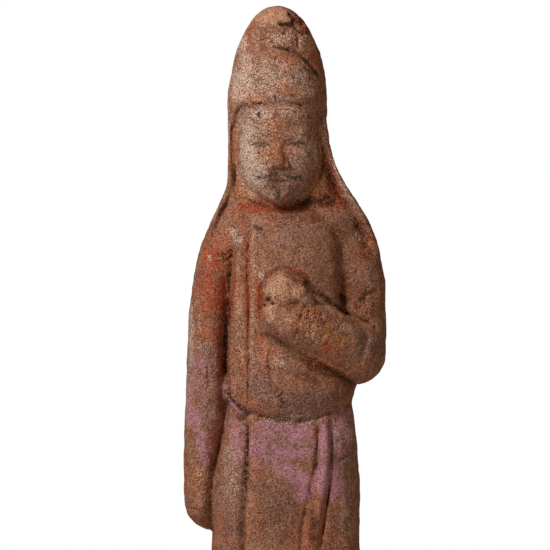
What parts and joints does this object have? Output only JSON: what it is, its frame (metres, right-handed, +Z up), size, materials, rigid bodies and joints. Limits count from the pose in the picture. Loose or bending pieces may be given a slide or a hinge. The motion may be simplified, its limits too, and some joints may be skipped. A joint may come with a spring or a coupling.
{
  "type": "hooded attendant tomb figure",
  "caption": "Standing attendant of moulded fired clay in a tall hood and a long cape, one arm hanging in its sleeve and the other folded to the chest, on a thin low base.",
  "frame": {"origin": "on the flat underside of the base, under the middle of the robe", "axes": "+Z up from the underside to the tip of the hood, -Y the way the figure faces, +X towards the figure's folded arm"},
  "size_m": [0.0631, 0.0481, 0.24],
  "materials": {
    "fired_clay": "matte"
  },
  "bodies": {
    "root": {"attendant_figure": "fired_clay"}
  },
  "joints": []
}
